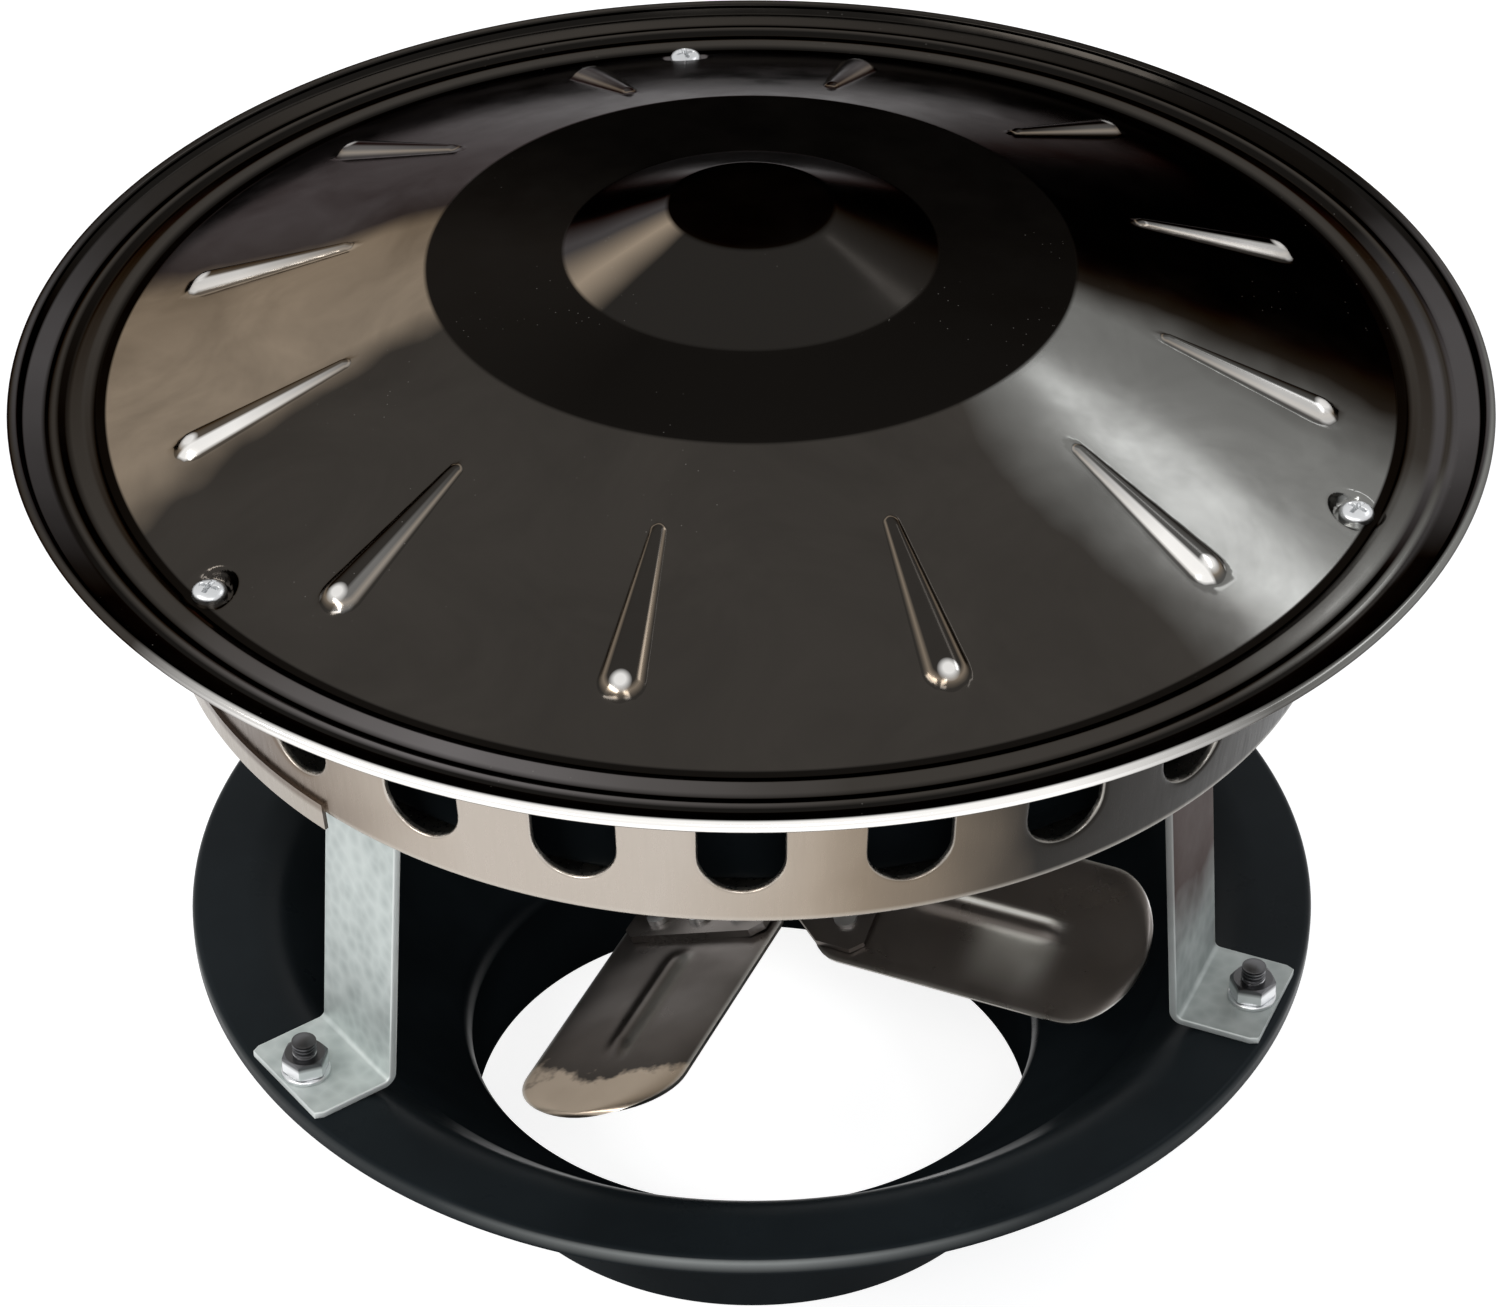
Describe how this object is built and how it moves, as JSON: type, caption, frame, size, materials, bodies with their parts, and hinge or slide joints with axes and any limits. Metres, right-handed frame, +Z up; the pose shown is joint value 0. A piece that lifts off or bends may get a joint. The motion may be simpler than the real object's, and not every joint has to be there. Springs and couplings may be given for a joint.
{
  "type": "chimney-top exhaust fan",
  "caption": "Motor-driven chimney-top smoke exhaust fan: round rain hat over a slotted motor housing, legs on a funnel flue base, and a paddle-blade impeller turning in the gap.",
  "frame": {"origin": "centre of the flue spigot's lower edge, on the plane the fan stands on", "axes": "+Z up along the fan's axis; the object is seen from the -Y side, with +X to the right"},
  "size_m": [0.35, 0.35, 0.282],
  "materials": {
    "black_enamel": "gloss",
    "galvanised_steel": "matte zinc",
    "zinc_fasteners": "zinc plated",
    "satin_stainless": "satin",
    "polished_stainless": "mirror polish",
    "cast_aluminium": "as cast",
    "lamination_steel": "varnished",
    "copper_winding": "varnished copper",
    "bearing_steel": "ground",
    "cream_plastic": "matte",
    "black_rubber": "matte",
    "blade_steel": "bright rolled",
    "dark_steel": "black oxide"
  },
  "bodies": {
    "housing": {"base_funnel": "black_enamel", "leg_left": "galvanised_steel", "leg_right": "galvanised_steel", "leg_rear": "galvanised_steel", "foot_bolts": "zinc_fasteners", "foot_washers": "zinc_fasteners", "foot_nuts": "zinc_fasteners", "leg_top_bolts": "zinc_fasteners", "leg_top_nuts": "zinc_fasteners", "pan_floor": "satin_stainless", "pan_band": "satin_stainless", "seam_strap": "satin_stainless", "motor_cover": "black_enamel", "floor_screws": "zinc_fasteners", "lower_shield": "cast_aluminium", "upper_shield": "cast_aluminium", "stator_core": "lamination_steel", "stator_windings": "copper_winding", "motor_tie_bolts": "zinc_fasteners", "motor_tie_nuts": "zinc_fasteners", "lower_bearing": "bearing_steel", "upper_bearing": "bearing_steel", "terminal_block": "cream_plastic", "run_capacitor": "cream_plastic", "cable_grommet": "black_rubber", "hat": "polished_stainless", "hat_screws": "polished_stainless", "hat_nuts": "zinc_fasteners"},
    "impeller": {"motor_shaft": "bearing_steel", "rotor_core": "lamination_steel", "hub_spider": "blade_steel", "hub_set_screw": "dark_steel", "hub_washer": "zinc_fasteners", "hub_nut": "zinc_fasteners", "blade_1": "blade_steel", "blade_2": "blade_steel", "blade_3": "blade_steel", "blade_4": "blade_steel", "blade_rivets": "zinc_fasteners"}
  },
  "joints": [
    {"name": "impeller_spin", "type": "hinge", "parent": "housing", "child": "impeller", "pos_m": [0, 0, 0.088], "axis": [0, 0, 1], "continuous": true}
  ]
}
